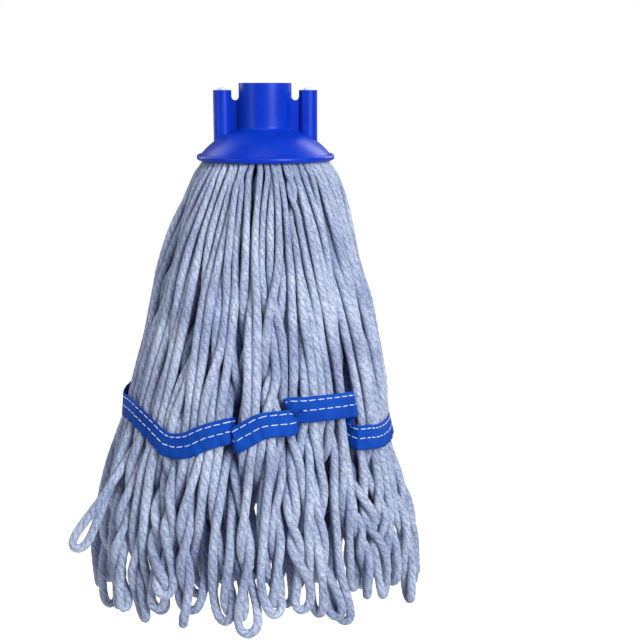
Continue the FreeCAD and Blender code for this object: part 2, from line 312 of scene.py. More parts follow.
# for each loop of a tassel: where its foot lies round the mop and how deep, so that some fill the inside
CLUMP_ROUND = np.array([-20, -26, -11, -22, 0, 3, 11, 27, 20]) * MM
CLUMP_DEEP = np.array([3, 34, 1, 66, 2, 46, 0.5, 56, 6]) * MM
HANG = 277 * MM                     # from the rim to the feet of the loops
HANG_SPREAD = 11 * MM
BEHIND_MM = 4.6                     # how far behind the front legs the second layer lies at the tape
LEG_WANDER = 2.6 * MM
SIDE_WANDER = 4.4 * MM              # of a loop below the tape, round the mop and in depth
DEEP_WANDER = 3.0 * MM
LEG_GAP = 3.0 * MM                  # half the distance between the wound legs of a loop
EYE_FROM = 0.72                     # share of the way down at which the legs part into the eye
# neighbouring legs draw together in places: waves round the mop, phase, drift down it, size in millimetres
BUNCHING = [(9, 0.4, 1.2, 4.4), (16, 2.0, -1.8, 3.4), (27, 4.1, 2.2, 2.0)]
print("feet of the tassels:", round(HANG / MM), "to", round((HANG + float(TASSEL_HANG.max())) / MM),
      "mm below the rim, before each loop's own spread")

# %% Curves for the routes


def ease(t):
    """Smooth rise from 0 to 1, flat at both ends."""
    t = np.clip(t, 0, 1)
    return t * t * (3 - 2 * t)


def wander(count, steps, waves, size):
    """Smooth random offsets, one row each: sines of the given numbers of waves with random phase."""
    t = np.linspace(0, 1, steps)[None, :]
    total = np.zeros((count, steps))
    for wave in waves:
        phase = rng.uniform(0, 2 * math.pi, (count, 1))
        total += rng.normal(0, 1, (count, 1)) * np.sin(2 * math.pi * wave * t + phase) / wave
    return size * total


def upper_leg(leg):
    """Points from the root to the tape. The radius follows the bell, less a depth that shrinks to the
    layer's own, and the azimuth eases from the root's to the slot's."""
    t = np.linspace(0, 1, UPPER_STEPS)[None, :]
    end_z = at_azimuth(tape_height, slot_azimuth[leg])[:, None]
    root_z = roots[leg, 2][:, None]
    z = root_z + (end_z - root_z) * t
    turn = (slot_azimuth[leg] - roots[leg, 0])[:, None]
    azimuth = roots[leg, 0][:, None] + turn * ease(t * 1.15)
    root_depth = bell_radius(root_z) - roots[leg, 1][:, None]
    inside = at_azimuth(tape_inside, slot_azimuth[leg])[:, None]
    pleat = np.clip(bell_radius(end_z) - inside, 0, PLEAT_MOST)
    depth = root_depth * (1 - t) ** 1.6 + t * layer[leg][:, None] * BEHIND_MM * MM
    depth = depth + YARN_R * ease(4 * t) + pleat * np.exp(-((1 - t) / 0.34) ** 2)
    fade = np.sin(math.pi * t) ** 0.7
    bunch = sum(size * np.sin(n * azimuth + phase + drift * t) for n, phase, drift, size in BUNCHING) * MM
    azimuth = azimuth + fade * (bunch + wander(len(leg), UPPER_STEPS, (1, 2), LEG_WANDER)) / bell_radius(z)
    depth = depth + fade * np.abs(wander(len(leg), UPPER_STEPS, (1, 2), LEG_WANDER))
    return on_bell(azimuth, bell_radius(z) - depth, z), azimuth, depth


# %% First routes


def whole_loops():
    """One row per loop: down the first leg, round the end of the loop and back up the second leg."""
    first, second = pairs[:, 0], pairs[:, 1]
    top_a, az_a, deep_a = upper_leg(first)
    top_b, az_b, deep_b = upper_leg(second)
    s = np.linspace(0, 1, LOWER_STEPS + 1)[None, 1:]
    start_z = (top_a[:, -1, 2] + top_b[:, -1, 2])[:, None] / 2
    hang = TASSEL_HANG[loop_tassel] + HANG_SPREAD * rng.triangular(-1.6, 0.35, 0.8, LOOPS)
    kick, shorter = np.zeros(LOOPS), np.zeros(LOOPS)
    for number, out, less in STRAYS:
        kick[number], shorter[number] = out * MM, less * MM
    foot_z = (RIM_Z - HANG - hang + shorter)[:, None]
    z = start_z - (start_z - foot_z) * s
    order = np.tile(np.arange(LOOPS_EACH), TASSELS)
    clump_round = CLUMP_ROUND[order] + rng.normal(0, 2.4 * MM, LOOPS) + TASSEL_PULL[loop_tassel, 0]
    clump_deep = CLUMP_DEEP[order] + rng.normal(0, 1.8 * MM, LOOPS) - TASSEL_PULL[loop_tassel, 1]
    gather = ease((s - 0.1) / 0.8)
    centre_az = (az_a[:, -1] + az_b[:, -1])[:, None] / 2
    clump_az = loop_tassel[:, None] * SECTOR + (clump_round[:, None] / bell_radius(foot_z))
    middle_az = centre_az + (clump_az - centre_az) * gather
    middle_deep = (deep_a[:, -1] + deep_b[:, -1])[:, None] / 2 * (1 - gather)
    middle_deep = middle_deep + (clump_deep[:, None] + YARN_R) * gather
    middle_az = middle_az + s * wander(LOOPS, LOWER_STEPS, (1, 2, 3, 4), SIDE_WANDER) / bell_radius(z)
    middle_deep = middle_deep + s * wander(LOOPS, LOWER_STEPS, (1, 2, 3, 4), DEEP_WANDER)
    middle_deep = middle_deep - kick[:, None] * ease((s - 0.35) / 0.65)
    eye = rng.triangular(5.8, 7.4, 11.4, (LOOPS, 1)) * MM
    opened = ease((s - EYE_FROM) / 0.26)
    apart = LEG_GAP * (1 - opened) + eye * opened
    twist = rng.choice([-1.0, 1.0], (LOOPS, 1), p=[0.3, 0.7]) * rng.uniform(0.6, 3.0, (LOOPS, 1)) * math.pi
    eye[WIDE_EYE], twist[WIDE_EYE] = 10.5 * MM, math.pi / 2
    begin = rng.uniform(0.12, 0.4, (LOOPS, 1))
    angle = math.pi + twist * ease((s - begin) / (0.95 - begin))
    wound = ease((s - begin / 2) / 0.3)
    half_az = (az_b[:, -1] - az_a[:, -1])[:, None] / 2 * bell_radius(z)
    half_deep = (deep_b[:, -1] - deep_a[:, -1])[:, None] / 2
    across = half_az * (1 - wound) - apart * np.cos(angle) * wound
    inward = half_deep * (1 - wound) + apart * np.sin(angle) * wound
    radius = bell_radius(z) - middle_deep
    lower_a = on_bell(middle_az - across / radius, radius + inward, z)
    lower_b = on_bell(middle_az + across / radius, radius - inward, z)
    bottom = (lower_a[:, -1] + lower_b[:, -1]) / 2
    side = (lower_a[:, -1] - lower_b[:, -1]) / 2
    turn = np.linspace(0, math.pi, TURN_STEPS + 2)[None, 1:-1, None]
    depth = np.linalg.norm(side, axis=1)[:, None, None] * np.array([0.0, 0.0, -1.0])
    arc = bottom[:, None, :] + side[:, None, :] * np.cos(turn) + depth * np.sin(turn)
    up_b = np.concatenate([top_b, lower_b], axis=1)[:, ::-1]
    return np.concatenate([top_a, lower_a, arc, up_b], axis=1), side


loops, loop_side = whole_loops()
NODES = loops.shape[1]
first_length = float(np.linalg.norm(np.diff(loops, axis=1), axis=2).sum(1).mean())
print("first routes:", loops.shape, "points;", round(first_length / MM), "mm of yarn per loop")

# %% [markdown]
# ## Making room
# The first routes run through each other. A short relaxation pushes them apart, the way yarn crowds in a
# bundle. In each round, points that are nearer than one yarn thickness to another strand move apart,
# sideways only, so that strands slide along each other. Then each strand pulls itself smooth, keeps its
# length, stays under the bell and inside the tape, and its two roots are put back.

# %% Points of the relaxation
ROUNDS = 200
CELL = 7.0 * MM                     # a little more than one yarn thickness
REBUILD = 6                         # rounds between two searches for close pairs
SLIDE_REACH = 3.4 * MM              # points further apart along the yarn than this don't push each other
PUSH = 0.7                          # share of an overlap that one round clears
PULL = 0.4                          # share of a length error that each end of a step takes
flat_ids = np.arange(LOOPS * NODES)
strand_of = flat_ids // NODES
place_of = flat_ids % NODES
near_root = np.minimum(place_of, NODES - 1 - place_of)
thick = ROOT_R + (YARN_R - ROOT_R) * ease((near_root - 1) / 10)
rest_length = np.linalg.norm(np.diff(loops, axis=1), axis=2)
fixed = near_root < 3
place_away = near_root - (UPPER_STEPS - 1)      # steps below the tape
at_tape = np.abs(place_away) <= 2
above = near_root < UPPER_STEPS
stiffness = np.where(place_away < 0, 0.4, 0.14).reshape(LOOPS, NODES)[:, 1:-1, None]
layer_of = layer[np.where(place_of < NODES // 2, pairs[strand_of, 0], pairs[strand_of, 1])]
free_of = np.zeros(LOOPS * NODES)
for number, out, _ in STRAYS:
    free_of[strand_of == number] = out * MM
print(len(flat_ids), "points,", int(fixed.sum()), "of them held at the roots")

# %% Pushing apart


def close_pairs(points):
    """Index pairs of points of different strands, or of far places on one strand, closer than a cell.
    Points are sorted by the number of their cell, and each cell is matched with half of its neighbours."""
    cell = np.floor(points / CELL).astype(np.int64) + 200
    key = (cell[:, 0] * 1000 + cell[:, 1]) * 1000 + cell[:, 2]
    order = np.argsort(key, kind="stable")
    ordered = key[order]
    found = []
    for dx in (0, 1):
        for dy in (-1, 0, 1):
            for dz in (-1, 0, 1):
                if (dx, dy, dz) < (0, 0, 0):
                    continue
                target = key + (dx * 1000 + dy) * 1000 + dz
                start = np.searchsorted(ordered, target, "left")
                count = np.searchsorted(ordered, target, "right") - start
                i = np.repeat(flat_ids, count)
                step = np.arange(count.sum()) - np.repeat(np.cumsum(count) - count, count)
                j = order[np.repeat(start, count) + step]
                keep = i < j if (dx, dy, dz) == (0, 0, 0) else i != j
                found.append(np.stack([i[keep], j[keep]]))
    i, j = np.concatenate(found, axis=1)
    close = np.linalg.norm(points[i] - points[j], axis=1) < CELL
    other = (strand_of[i] != strand_of[j]) | (np.abs(place_of[i] - place_of[j]) > 4)
    return i[close & other], j[close & other]


def tangents(rows):
    """Unit direction of each strand at each point, from the point before to the point after."""
    way = np.gradient(rows, axis=1)
    return way / np.linalg.norm(way, axis=2, keepdims=True)


def push_apart(rows, i, j, share):
    """Half of each overlap, times share, as a move of each point away from the other, square to both."""
    points = rows.reshape(-1, 3)
    way = tangents(rows).reshape(-1, 3)
    gap = points[i] - points[j]
    along = way[i] + way[j] * np.sign((way[i] * way[j]).sum(1, keepdims=True))
    along = along / np.maximum(np.linalg.norm(along, axis=1, keepdims=True), 1e-9)
    slide = (gap * along).sum(1, keepdims=True)
    side = gap - slide * along
    width = np.maximum(np.linalg.norm(side, axis=1, keepdims=True), 1e-6)
    lack = np.clip((thick[i] + thick[j])[:, None] - width, 0, None) * (np.abs(slide) < SLIDE_REACH)
    move = side / width * lack * share / 2
    total = np.zeros_like(points)
    for k in range(3):
        total[:, k] = np.bincount(i, move[:, k], len(points)) - np.bincount(j, move[:, k], len(points))
    return (points + total).reshape(rows.shape), float(lack.max(initial=0.0))


# %% [markdown]
# ## Furrows and the outer limit
# Here and there the yarn parts, and a dark furrow runs down between two bunches. Each furrow is a shallow
# dent in the surface that the strands have to stay under. Just above and below the tape that surface also
# follows the pleats.

# %% Holding the yarn in
# furrows where the yarn parts: azimuth in degrees, depth, height and half length in millimetres
FURROWS = np.array([
    (-32.5, 9, -140, 44), (-18, 7, -137, 22), (-8, 6, -150, 36), (28, 7, -95, 20), (48.5, 9, -125, 28),
    (35, 7, -152, 26), (-50, 8, -160, 36), (-66, 7, -120, 32), (66, 7, -168, 30), (84, 8, -130, 36),
    (104, 7, -150, 30), (122, 8, -112, 30), (143, 8, -150, 36), (160, 6, -120, 26), (178, 8, -145, 36),
    (-161, 7, -165, 26), (-145, 8, -125, 36), (-124, 7, -150, 30), (-105, 8, -130, 36), (-86, 7, -158, 30)])
FURROW_WIDTH = math.radians(2.0)
BELOW_SLACK = 9 * MM                # how far outside the bell the yarn may lie below the tape
PLEAT_REACH = (58 * MM, 28 * MM)    # how far a pleat shows in the yarn above the tape and below it
LAYER_REACH = 2.0 * MM              # at the tape, front legs are drawn out to this far from the limit


def furrow_depth(azimuth, z):
    """Sum of bumps, each a bell curve in azimuth times a bell curve in height."""
    total = 0.0 * z
    for centre, deep, height, half in FURROWS:
        turn = (azimuth - math.radians(centre) + math.pi) % (2 * math.pi) - math.pi
        rise = (z - height * MM) / (half * MM)
        total = total + deep * MM * np.exp(-(turn / FURROW_WIDTH) ** 2 - rise ** 2)
    return total


def hold_in(rows):
    """Keep points under the bell above the tape, inside the tape at the tape, and loosely round it below. A
    point that is too far out moves straight towards the shifted middle until it is at the limit."""
    points = rows.reshape(-1, 3)
    z = points[:, 2]
    x = points[:, 0] - bell_shift(z)
    radius = np.hypot(x, points[:, 1])
    azimuth = np.arctan2(x, -points[:, 1])
    limit = bell_radius(z) - YARN_R + 0.9 * MM * np.sin(9 * azimuth + 40 * z) + 0.6 * MM
    limit = np.where(above, limit, limit + (BELOW_SLACK + free_of) * ease((place_away - 2) / 12))
    pinch = at_azimuth(tape_inside, azimuth) - TAPE_THICK - thick
    rise = z - at_azimuth(tape_height, azimuth)
    limit = np.where(np.abs(rise) < TAPE_WIDTH / 2 + 1.5 * MM, np.minimum(limit, pinch), limit)
    limit = limit - np.where(above, furrow_depth(azimuth, z), 0.0)
    pleat_share = np.exp(-(rise / np.where(rise > 0, *PLEAT_REACH)) ** 2)
    limit = limit - at_azimuth(pleats, azimuth) * pleat_share
    outer_reach = np.where(above & (layer_of < 0.5), limit - LAYER_REACH, 0.0)
    aim = np.minimum(radius, limit)
    aim = np.where((aim < outer_reach) & at_tape, aim + 0.3 * (outer_reach - aim), aim)
    scale = aim / radius
    points = np.stack([bell_shift(z) + x * scale, points[:, 1] * scale, z], axis=1)
    return points.reshape(rows.shape)


# %% The rounds
start_points = loops.copy()
for round_number in range(ROUNDS):
    if round_number % REBUILD == 0:
        pair_i, pair_j = close_pairs(loops.reshape(-1, 3))
    loops, worst = push_apart(loops, pair_i, pair_j, PUSH)
    smooth = (loops[:, :-2] + loops[:, 2:]) / 2 - loops[:, 1:-1]
    loops[:, 1:-1] += stiffness * smooth
    step = np.diff(loops, axis=1)
    length = np.linalg.norm(step, axis=2, keepdims=True)
    pull = step * (length - rest_length[:, :, None]) / np.maximum(length, 1e-9) * PULL
    loops[:, :-1] += pull
    loops[:, 1:] -= pull
    loops = hold_in(loops)
    loops = np.where(fixed.reshape(LOOPS, NODES)[:, :, None], start_points, loops)
print(f"relaxed {ROUNDS} rounds, {len(pair_i)} close pairs, deepest overlap left {worst / MM:.2f} mm")

# %% [markdown]
# ## Yarn as a mesh
# Mop yarn is several soft plies twisted together, so its outline is a circle with shallow grooves that wind
# round it. The section is carried along the strand's smooth centreline, and the angle of the grooves grows
# evenly with length. A map of (turn round the yarn, length along it) goes with the mesh, so that a material
# can draw finer fibres in step with the grooves.

# %% Strand meshes
RING_STEP = 2.1 * MM
SECTION = 14
PLIES = 4
PLY_PITCH = 25.0 * MM
GROOVE = 0.07                       # depth of a groove as a share of the radius
# each pair is where a change starts and the length it takes: the painted shade behind the outline, its
# fading below the rim, and the swelling of a strand after the clamp
HIDDEN_FROM, HIDDEN_OVER = 3.5 * MM, 13 * MM
END_FROM, END_OVER = 235 * MM, 45 * MM
CLAMPED, SWELLS_OVER = 6 * MM, 110 * MM


def smooth_routes(rows):
    """Every strand's points as the control points of a NURBS spline, read back as a line of many more
    points."""
    data = bpy.data.curves.new("routes", "CURVE")
    data.dimensions = "3D"
    for row in rows:
        spline = data.splines.new("NURBS")
        spline.points.add(len(row) - 1)
        spline.points.foreach_set("co", np.hstack([row, np.ones((len(row), 1))]).ravel())
        spline.order_u = 3
        spline.use_endpoint_u = True
        spline.resolution_u = 4
    holder = bpy.data.objects.new("routes", data)
    line = bpy.data.meshes.new_from_object(holder)
    points = np.empty(3 * len(line.vertices))
    line.vertices.foreach_get("co", points)
    bpy.data.objects.remove(holder)
    bpy.data.curves.remove(data)
    bpy.data.meshes.remove(line)
    return points.reshape(len(rows), -1, 3)


def length_of(path):
    """Length of a line of points."""
    return float(np.linalg.norm(np.diff(path, axis=0), axis=1).sum())


def tube_arrays(path, reference, radius, plies=PLIES, pitch=PLY_PITCH, groove=GROOVE, section=SECTION):
    """Corners, faces and map of a grooved tube. Across the path, the radius is smaller by the groove times
    (1 - |sine of half the plies times the twisted angle|) to the power 1.5. The reference is a direction
    that the path never points along, and gives the section's zero angle. Both ends are closed with a fan."""
    way = np.gradient(path, axis=0)
    way = way / np.linalg.norm(way, axis=1, keepdims=True)
    right = reference - (way @ reference)[:, None] * way
    right = right / np.linalg.norm(right, axis=1, keepdims=True)
    up = np.cross(way, right)
    run = np.concatenate([[0.0], np.cumsum(np.linalg.norm(np.diff(path, axis=0), axis=1))])
    angle = np.arange(section) * 2 * math.pi / section
    turned = angle[None, :] + 2 * math.pi * run[:, None] / pitch
    size = radius[:, None] * (1 - groove * (1 - np.abs(np.sin(turned * plies / 2))) ** 1.5)
    rightwards = np.cos(angle)[None, :, None] * right[:, None, :]
    upwards = np.sin(angle)[None, :, None] * up[:, None, :]
    ring = size[:, :, None] * (rightwards + upwards)
    points = np.vstack([(path[:, None, :] + ring).reshape(-1, 3), path[:1], path[-1:]])
    rows, cols = np.meshgrid(np.arange(len(path) - 1), np.arange(section), indexing="ij")
    nxt = (cols + 1) % section
    here, beyond = rows * section, (rows + 1) * section
    quads = np.stack([here + cols, here + nxt, beyond + nxt, beyond + cols], axis=-1)
    u0, u1 = cols / section, (cols + 1) / section
    v0, v1 = run[rows], run[rows + 1]
    uv = np.stack([np.stack(corner, -1) for corner in ((u0, v0), (u1, v0), (u1, v1), (u0, v1))], axis=2)
    n = len(path) * section
    k = np.arange(section)
    fan_low = np.stack([np.full(section, n), (k + 1) % section, k], axis=1)
    fan_high = np.stack([np.full(section, n + 1), n - section + k, n - section + (k + 1) % section], axis=1)
    return points, quads.reshape(-1, 4), np.vstack([fan_low, fan_high]), uv.reshape(-1, 2)


def depth_shade_share(points):
    """The share of painted shade at each point: 0 at the outside of the bundle, easing to 1 where a point
    lies
    16.5 mm behind its outline, and less again towards the ends of the loops."""
    x = points[:, 0] - bell_shift(points[:, 2])
    depth = bell_radius(points[:, 2]) - np.hypot(x, points[:, 1])
    near_end = ease((RIM_Z - END_FROM - points[:, 2]) / END_OVER)
    return ease((depth - HIDDEN_FROM) / HIDDEN_OVER) * (1 - 0.85 * near_end)


def make_mesh(name, parts):
    """One object from several (points, quads, triangles, quad map) sets, smooth shaded."""
    points, corners, sizes, maps, offset = [], [], [], [], 0
    for p, quads, tris, uv in parts:
        points.append(p)
        corners += [(quads + offset).ravel(), (tris + offset).ravel()]
        sizes += [np.full(len(quads), 4), np.full(len(tris), 3)]
        maps += [uv, np.zeros((tris.size, 2))]
        offset += len(p)
    points, maps = np.vstack(points), np.vstack(maps)
    corners, sizes = np.concatenate(corners), np.concatenate(sizes)
    mesh = bpy.data.meshes.new(name)
    mesh.vertices.add(len(points))
    mesh.vertices.foreach_set("co", points.ravel())
    mesh.loops.add(len(corners))
    mesh.loops.foreach_set("vertex_index", corners.astype(np.int32))
    mesh.polygons.add(len(sizes))
    mesh.polygons.foreach_set("loop_start", np.concatenate([[0], np.cumsum(sizes)[:-1]]).astype(np.int32))
    mesh.polygons.foreach_set("loop_total", sizes.astype(np.int32))
    mesh.uv_layers.new(name="weave").data.foreach_set("uv", maps.astype(np.float32).ravel())
    # painted shade: each point keeps its share of the painted shade for yarn lying behind the bundle's
    # outline
    painted_depth_shade = mesh.attributes.new("painted_depth_shade", "FLOAT", "POINT")
    painted_depth_shade.data.foreach_set("value", depth_shade_share(points).astype(np.float32))
    mesh.update(calc_edges=True)
    mesh.validate()
    mesh.polygons.foreach_set("use_smooth", np.ones(len(sizes), bool))
    made = bpy.data.objects.new(name, mesh)
    bpy.context.scene.collection.objects.link(made)
    return made


def plump(path):
    """Radius along a strand: squeezed in the clamp at both ends, and a little uneven, as spun yarn is."""
    run = np.linspace(0, length_of(path), len(path))
    edge = np.minimum(run, run[-1] - run)
    phase = rng.uniform(0, 2 * math.pi, 3)
    uneven = sum(np.sin(run / wave + p) for wave, p in zip((9 * MM, 21 * MM, 5 * MM), phase))
    return (ROOT_R + (YARN_R - ROOT_R) * ease((edge - CLAMPED) / SWELLS_OVER)) * (1 + 0.032 * uneven)


routes = smooth_routes(loops)
paths, strand_parts = [], []
for number in range(LOOPS):
    path, _ = even_steps(routes[number], int(length_of(routes[number]) / RING_STEP))
    flat_normal = np.cross(loop_side[number], (0.0, 0.0, 1.0))
    flat_normal = flat_normal / np.linalg.norm(flat_normal)
    paths.append(path)
    strand_parts.append(tube_arrays(path, flat_normal, plump(path)))
strand_lengths = np.array([length_of(p) for p in paths])
length_spread = np.array([strand_lengths.min(), strand_lengths.mean(), strand_lengths.max()])
print("shortest, mean and longest strand:", np.round(length_spread / MM), "mm;",
      sum(2 * len(q) + len(t) for _, q, t, _ in strand_parts), "triangles")

# %% [markdown]
# ## Which strands stand alone
# On the real mop each strand hangs from the socket and bends where its tassel swings. The three strands of
# each tassel that lie furthest out are pieces of their own. The other six of each tassel are one piece.

# %% Strand pieces
OWN_EACH = 3


def reach(path):
    """How far out a strand lies on average over its lower half."""
    low = path[path[:, 2] < TAPE_Z]
    return float(np.hypot(low[:, 0] - bell_shift(low[:, 2]), low[:, 1]).mean())


def follow_tassel(piece):
    """Bakes the piece's placement into its mesh."""
    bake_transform(piece)


outer_first = np.argsort([-reach(p) for p in paths])
own = set()
for tassel in range(TASSELS):
    own |= set([int(k) for k in outer_first if loop_tassel[k] == tassel][:OWN_EACH])
strand_pieces, packs = [], []
for number in sorted(own):
    piece = make_mesh(f"yarn_loop_{number + 1:02d}", [strand_parts[number]])
    follow_tassel(piece)
    strand_pieces.append(piece)
    path = paths[number]
for tassel in range(TASSELS):
    inner = [k for k in range(LOOPS) if loop_tassel[k] == tassel and k not in own]
    piece = make_mesh(f"yarn_pack_{tassel + 1:02d}", [strand_parts[k] for k in inner])
    follow_tassel(piece)
    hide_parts(bundle_nodes[tassel], tassel_nodes[tassel])
    packs.append(piece)
    strand_pieces.append(piece)
print(len(own), "strands of their own,", LOOPS - len(own), "in", len(packs), "packs")

# %% [markdown]
# ## Loose fibres
# Spun yarn is never quite smooth: short fibres stand off it and soften its outline. Each is a thin
# three-sided hair that leaves the yarn at a random place, runs mostly along it and lifts away. All the
# hairs of a tassel are computed as one array and make one piece.

# %% Fibres
HAIRS_EACH = 700
HAIR_R = 0.085 * MM
HAIR_STEPS = 4


def hairs(strands, count):
    """Hairs on the given strands. A hair starts 0.2 mm inside the surface and runs evenly along the yarn,
    while its lift and its sideways lean grow with the square of the distance."""
    pick = rng.integers(0, len(strands), count)
    spot = np.array([rng.integers(12, len(paths[strands[k]]) - 13) for k in pick])
    root = np.array([paths[strands[k]][n] for k, n in zip(pick, spot)])
    way = np.array([paths[strands[k]][n + 1] - paths[strands[k]][n - 1] for k, n in zip(pick, spot)])
    way = way / np.linalg.norm(way, axis=1, keepdims=True)
    away = rng.normal(0, 1, (count, 3))
    away = away - (away * way).sum(1, keepdims=True) * way
    away = away / np.linalg.norm(away, axis=1, keepdims=True)
    side = np.cross(way, away)
    t = np.linspace(0, 1, HAIR_STEPS)[None, :, None]
    length = rng.uniform(3, 9, (count, 1, 1)) * MM
    lift = rng.uniform(0.6, 2.6, (count, 1, 1)) * MM
    lean = rng.normal(0, 0.5, (count, 1, 1))
    flip = rng.choice([-1.0, 1.0], (count, 1, 1))
    line = root[:, None, :] + away[:, None, :] * (YARN_R * 0.93 + lift * t ** 2)
    line = line + length * t * (way[:, None, :] * flip + side[:, None, :] * lean * t)
    angle = np.arange(3) * 2 * math.pi / 3
    thin = HAIR_R * (1 - 0.6 * t[..., None])
    outwards = away[:, None, None, :] * np.cos(angle)[None, None, :, None]
    sideways = side[:, None, None, :] * np.sin(angle)[None, None, :, None]
    ring = outwards + sideways
    points = (line[:, :, None, :] + thin * ring).reshape(-1, 3)
    hair, step, corner = np.meshgrid(np.arange(count), np.arange(HAIR_STEPS - 1), np.arange(3), indexing="ij")
    base = (hair * HAIR_STEPS + step) * 3
    nxt = (corner + 1) % 3
    quads = np.stack([base + corner, base + nxt, base + 3 + nxt, base + 3 + corner], axis=-1).reshape(-1, 4)
    ends = np.arange(count)[:, None] * HAIR_STEPS * 3
    last = ends + (HAIR_STEPS - 1) * 3
    tris = np.vstack([ends + np.array([2, 1, 0]), last + np.array([0, 1, 2])])
    return points, quads, tris, np.zeros((4 * len(quads), 2))


for tassel in range(TASSELS):
    members = [k for k in range(LOOPS) if loop_tassel[k] == tassel]
    piece = make_mesh(f"yarn_fibres_{tassel + 1:02d}", [hairs(members, HAIRS_EACH)])
    follow_tassel(piece)
    strand_pieces.append(piece)
print(TASSELS * HAIRS_EACH, "loose fibres")

# %% [markdown]
# ## The folds inside the socket
# The yarn goes up into the socket, over and down again, so that the clamp plate can hold it. Each fold is a
# half circle that joins the tops of two neighbouring legs. It shows only from below, between the legs.

# %% Folds
ARCH_STEPS = 9
fold_parts = []
for ring in range(len(ROOT_RINGS)):
    members = roots[roots[:, 3] == ring]
    members = members[np.argsort(members[:, 4])]
    azimuth, radius, height = members[:, :3].T
    spots = np.stack([radius * np.sin(azimuth), -radius * np.cos(azimuth), height], axis=1)
    for first, second in zip(spots[0:-1:2], spots[1::2]):
        half = (first - second) / 2
        if np.linalg.norm(half) > 3 * MM:       # the clamp plate lies between these two
            continue
        turn = np.linspace(0, math.pi, ARCH_STEPS)[:, None]
        rise = np.array([0.0, 0.0, 1.0]) * np.linalg.norm(half)
        arch = (first + second) / 2 + half * np.cos(turn) + rise * np.sin(turn)
        radial = np.array([*(first + second)[:2], 0.0])
        fold_parts.append(tube_arrays(arch, radial / np.linalg.norm(radial), np.full(ARCH_STEPS, ROOT_R)))
folds = make_mesh("yarn_folds", fold_parts)
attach(folds, HEAD)
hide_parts("yarn_core")
print(len(fold_parts), "folds")

# %% [markdown]
# ## The tape
# A ribbon is carried along its route. Its width lies up the slope of the bell, square to the route, and its
# thickness square to both. Sewing pulls the tape down into shallow puckers at each stitch, and the edges
# between two rows of yarn ripple a little. The map on it is in metres: across the tape, and along it.

# %% Tape mesh
TAPE_ACROSS = 15
STITCH_PITCH = 5.8 * MM
ROW_DROPS = np.array([2.4, 8.4]) * MM       # of the two rows of stitches, below the upper edge


def tape_frame(path):
    """Unit vectors up the tape and out of it, one row for each point of a closed route."""
    along = np.roll(path, -1, axis=0) - np.roll(path, 1, axis=0)
    along = along / np.linalg.norm(along, axis=1, keepdims=True)
    z = path[:, 2]
    lean = (bell_radius(z + MM) - bell_radius(z - MM)) / (2 * MM)
    x = path[:, 0] - bell_shift(z)
    outward = np.stack([x, path[:, 1], 0 * x], axis=1) / np.hypot(x, path[:, 1])[:, None]
    upward = outward * lean[:, None] + np.array([0.0, 0.0, 1.0])
    upward = upward - (upward * along).sum(1, keepdims=True) * along * 0.999
    window = np.hanning(25) / np.hanning(25).sum()
    for k in range(3):
        upward[:, k] = np.convolve(np.tile(upward[:, k], 3), window, "same")[len(path):2 * len(path)]
    upward = upward - (upward * along).sum(1, keepdims=True) * along
    upward = upward / np.linalg.norm(upward, axis=1, keepdims=True)
    return upward, np.cross(along, upward)


tape_up, tape_out = tape_frame(tape_path)
tape_run = np.arange(TAPE_STEPS) * TAPE_LENGTH / TAPE_STEPS


def tape_surface(run, height, lift):
    """Points of the tape at distances along it and heights above its middle, lifted off its middle layer.
    The ripple is a sum of sines along the tape that grows with the distance from the upper row of stitches,
    and the puckers are one shallow dip for each stitch."""
    k = (run / TAPE_LENGTH * TAPE_STEPS) % TAPE_STEPS
    low = k.astype(int) % TAPE_STEPS
    share = (k - np.floor(k))[:, None]
    high = (low + 1) % TAPE_STEPS

    def at(table):
        return table[low] * (1 - share) + table[high] * share

    away = (TAPE_WIDTH / 2 - ROW_DROPS[0] - height) / TAPE_WIDTH
    ripple = 0.45 * MM * np.sin(2 * math.pi * run / (TAPE_LENGTH / 61))
    ripple = ripple + 0.3 * MM * np.sin(2 * math.pi * run / (TAPE_LENGTH / 97) + 2)
    dip = sum(np.exp(-((TAPE_WIDTH / 2 - drop - height) / (1.3 * MM)) ** 2) for drop in ROW_DROPS)
    pucker = -0.22 * MM * dip * (0.6 - 0.4 * np.cos(2 * math.pi * run / STITCH_PITCH))
    out = lift + ripple * np.abs(away) + pucker
    return at(tape_path) + at(tape_up) * height[:, None] + at(tape_out) * out[:, None]


def tape_grid():
    """Outer and inner face of the tape and its two edges as one closed sheet of quads, with the map."""
    loop_half = np.linspace(-1, 1, TAPE_ACROSS)
    height = np.concatenate([loop_half, loop_half[::-1]]) * TAPE_WIDTH / 2
    edge = 1 - 0.75 * np.clip((np.abs(np.concatenate([loop_half, loop_half])) - 0.93) / 0.07, 0, 1) ** 2
    lift = np.concatenate([np.ones(TAPE_ACROSS), -np.ones(TAPE_ACROSS)]) * TAPE_THICK / 2 * edge
    around = 2 * TAPE_ACROSS
    run = np.repeat(tape_run, around)
    points = tape_surface(run, np.tile(height, TAPE_STEPS), np.tile(lift, TAPE_STEPS))
    rows, cols = np.meshgrid(np.arange(TAPE_STEPS), np.arange(around), indexing="ij")
    rows_next, cols_next = (rows + 1) % TAPE_STEPS, (cols + 1) % around
    quads = np.stack([rows * around + cols, rows_next * around + cols, rows_next * around + cols_next,
                      rows * around + cols_next], axis=-1).reshape(-1, 4)
    v0 = rows * TAPE_LENGTH / TAPE_STEPS
    v1 = (rows + 1) * TAPE_LENGTH / TAPE_STEPS
    uv = np.stack([np.stack([height[cols], v0], -1), np.stack([height[cols], v1], -1),
                   np.stack([height[cols_next], v1], -1), np.stack([height[cols_next], v0], -1)], axis=2)
    return points, quads, np.zeros((0, 3), int), uv.reshape(-1, 2)


tape = make_mesh("sewn_tape", [tape_grid()])
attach(tape, HEAD)
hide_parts("tail_band")
print("tape faces:", len(tape.data.polygons))

# %% [markdown]
# ## The stitches
# A lockstitch shows on top as a row of short dashes of thread, each a little arch that dives into the tape
# at both ends. One small arch is shaped once and set along both rows, following the tape's own surface.

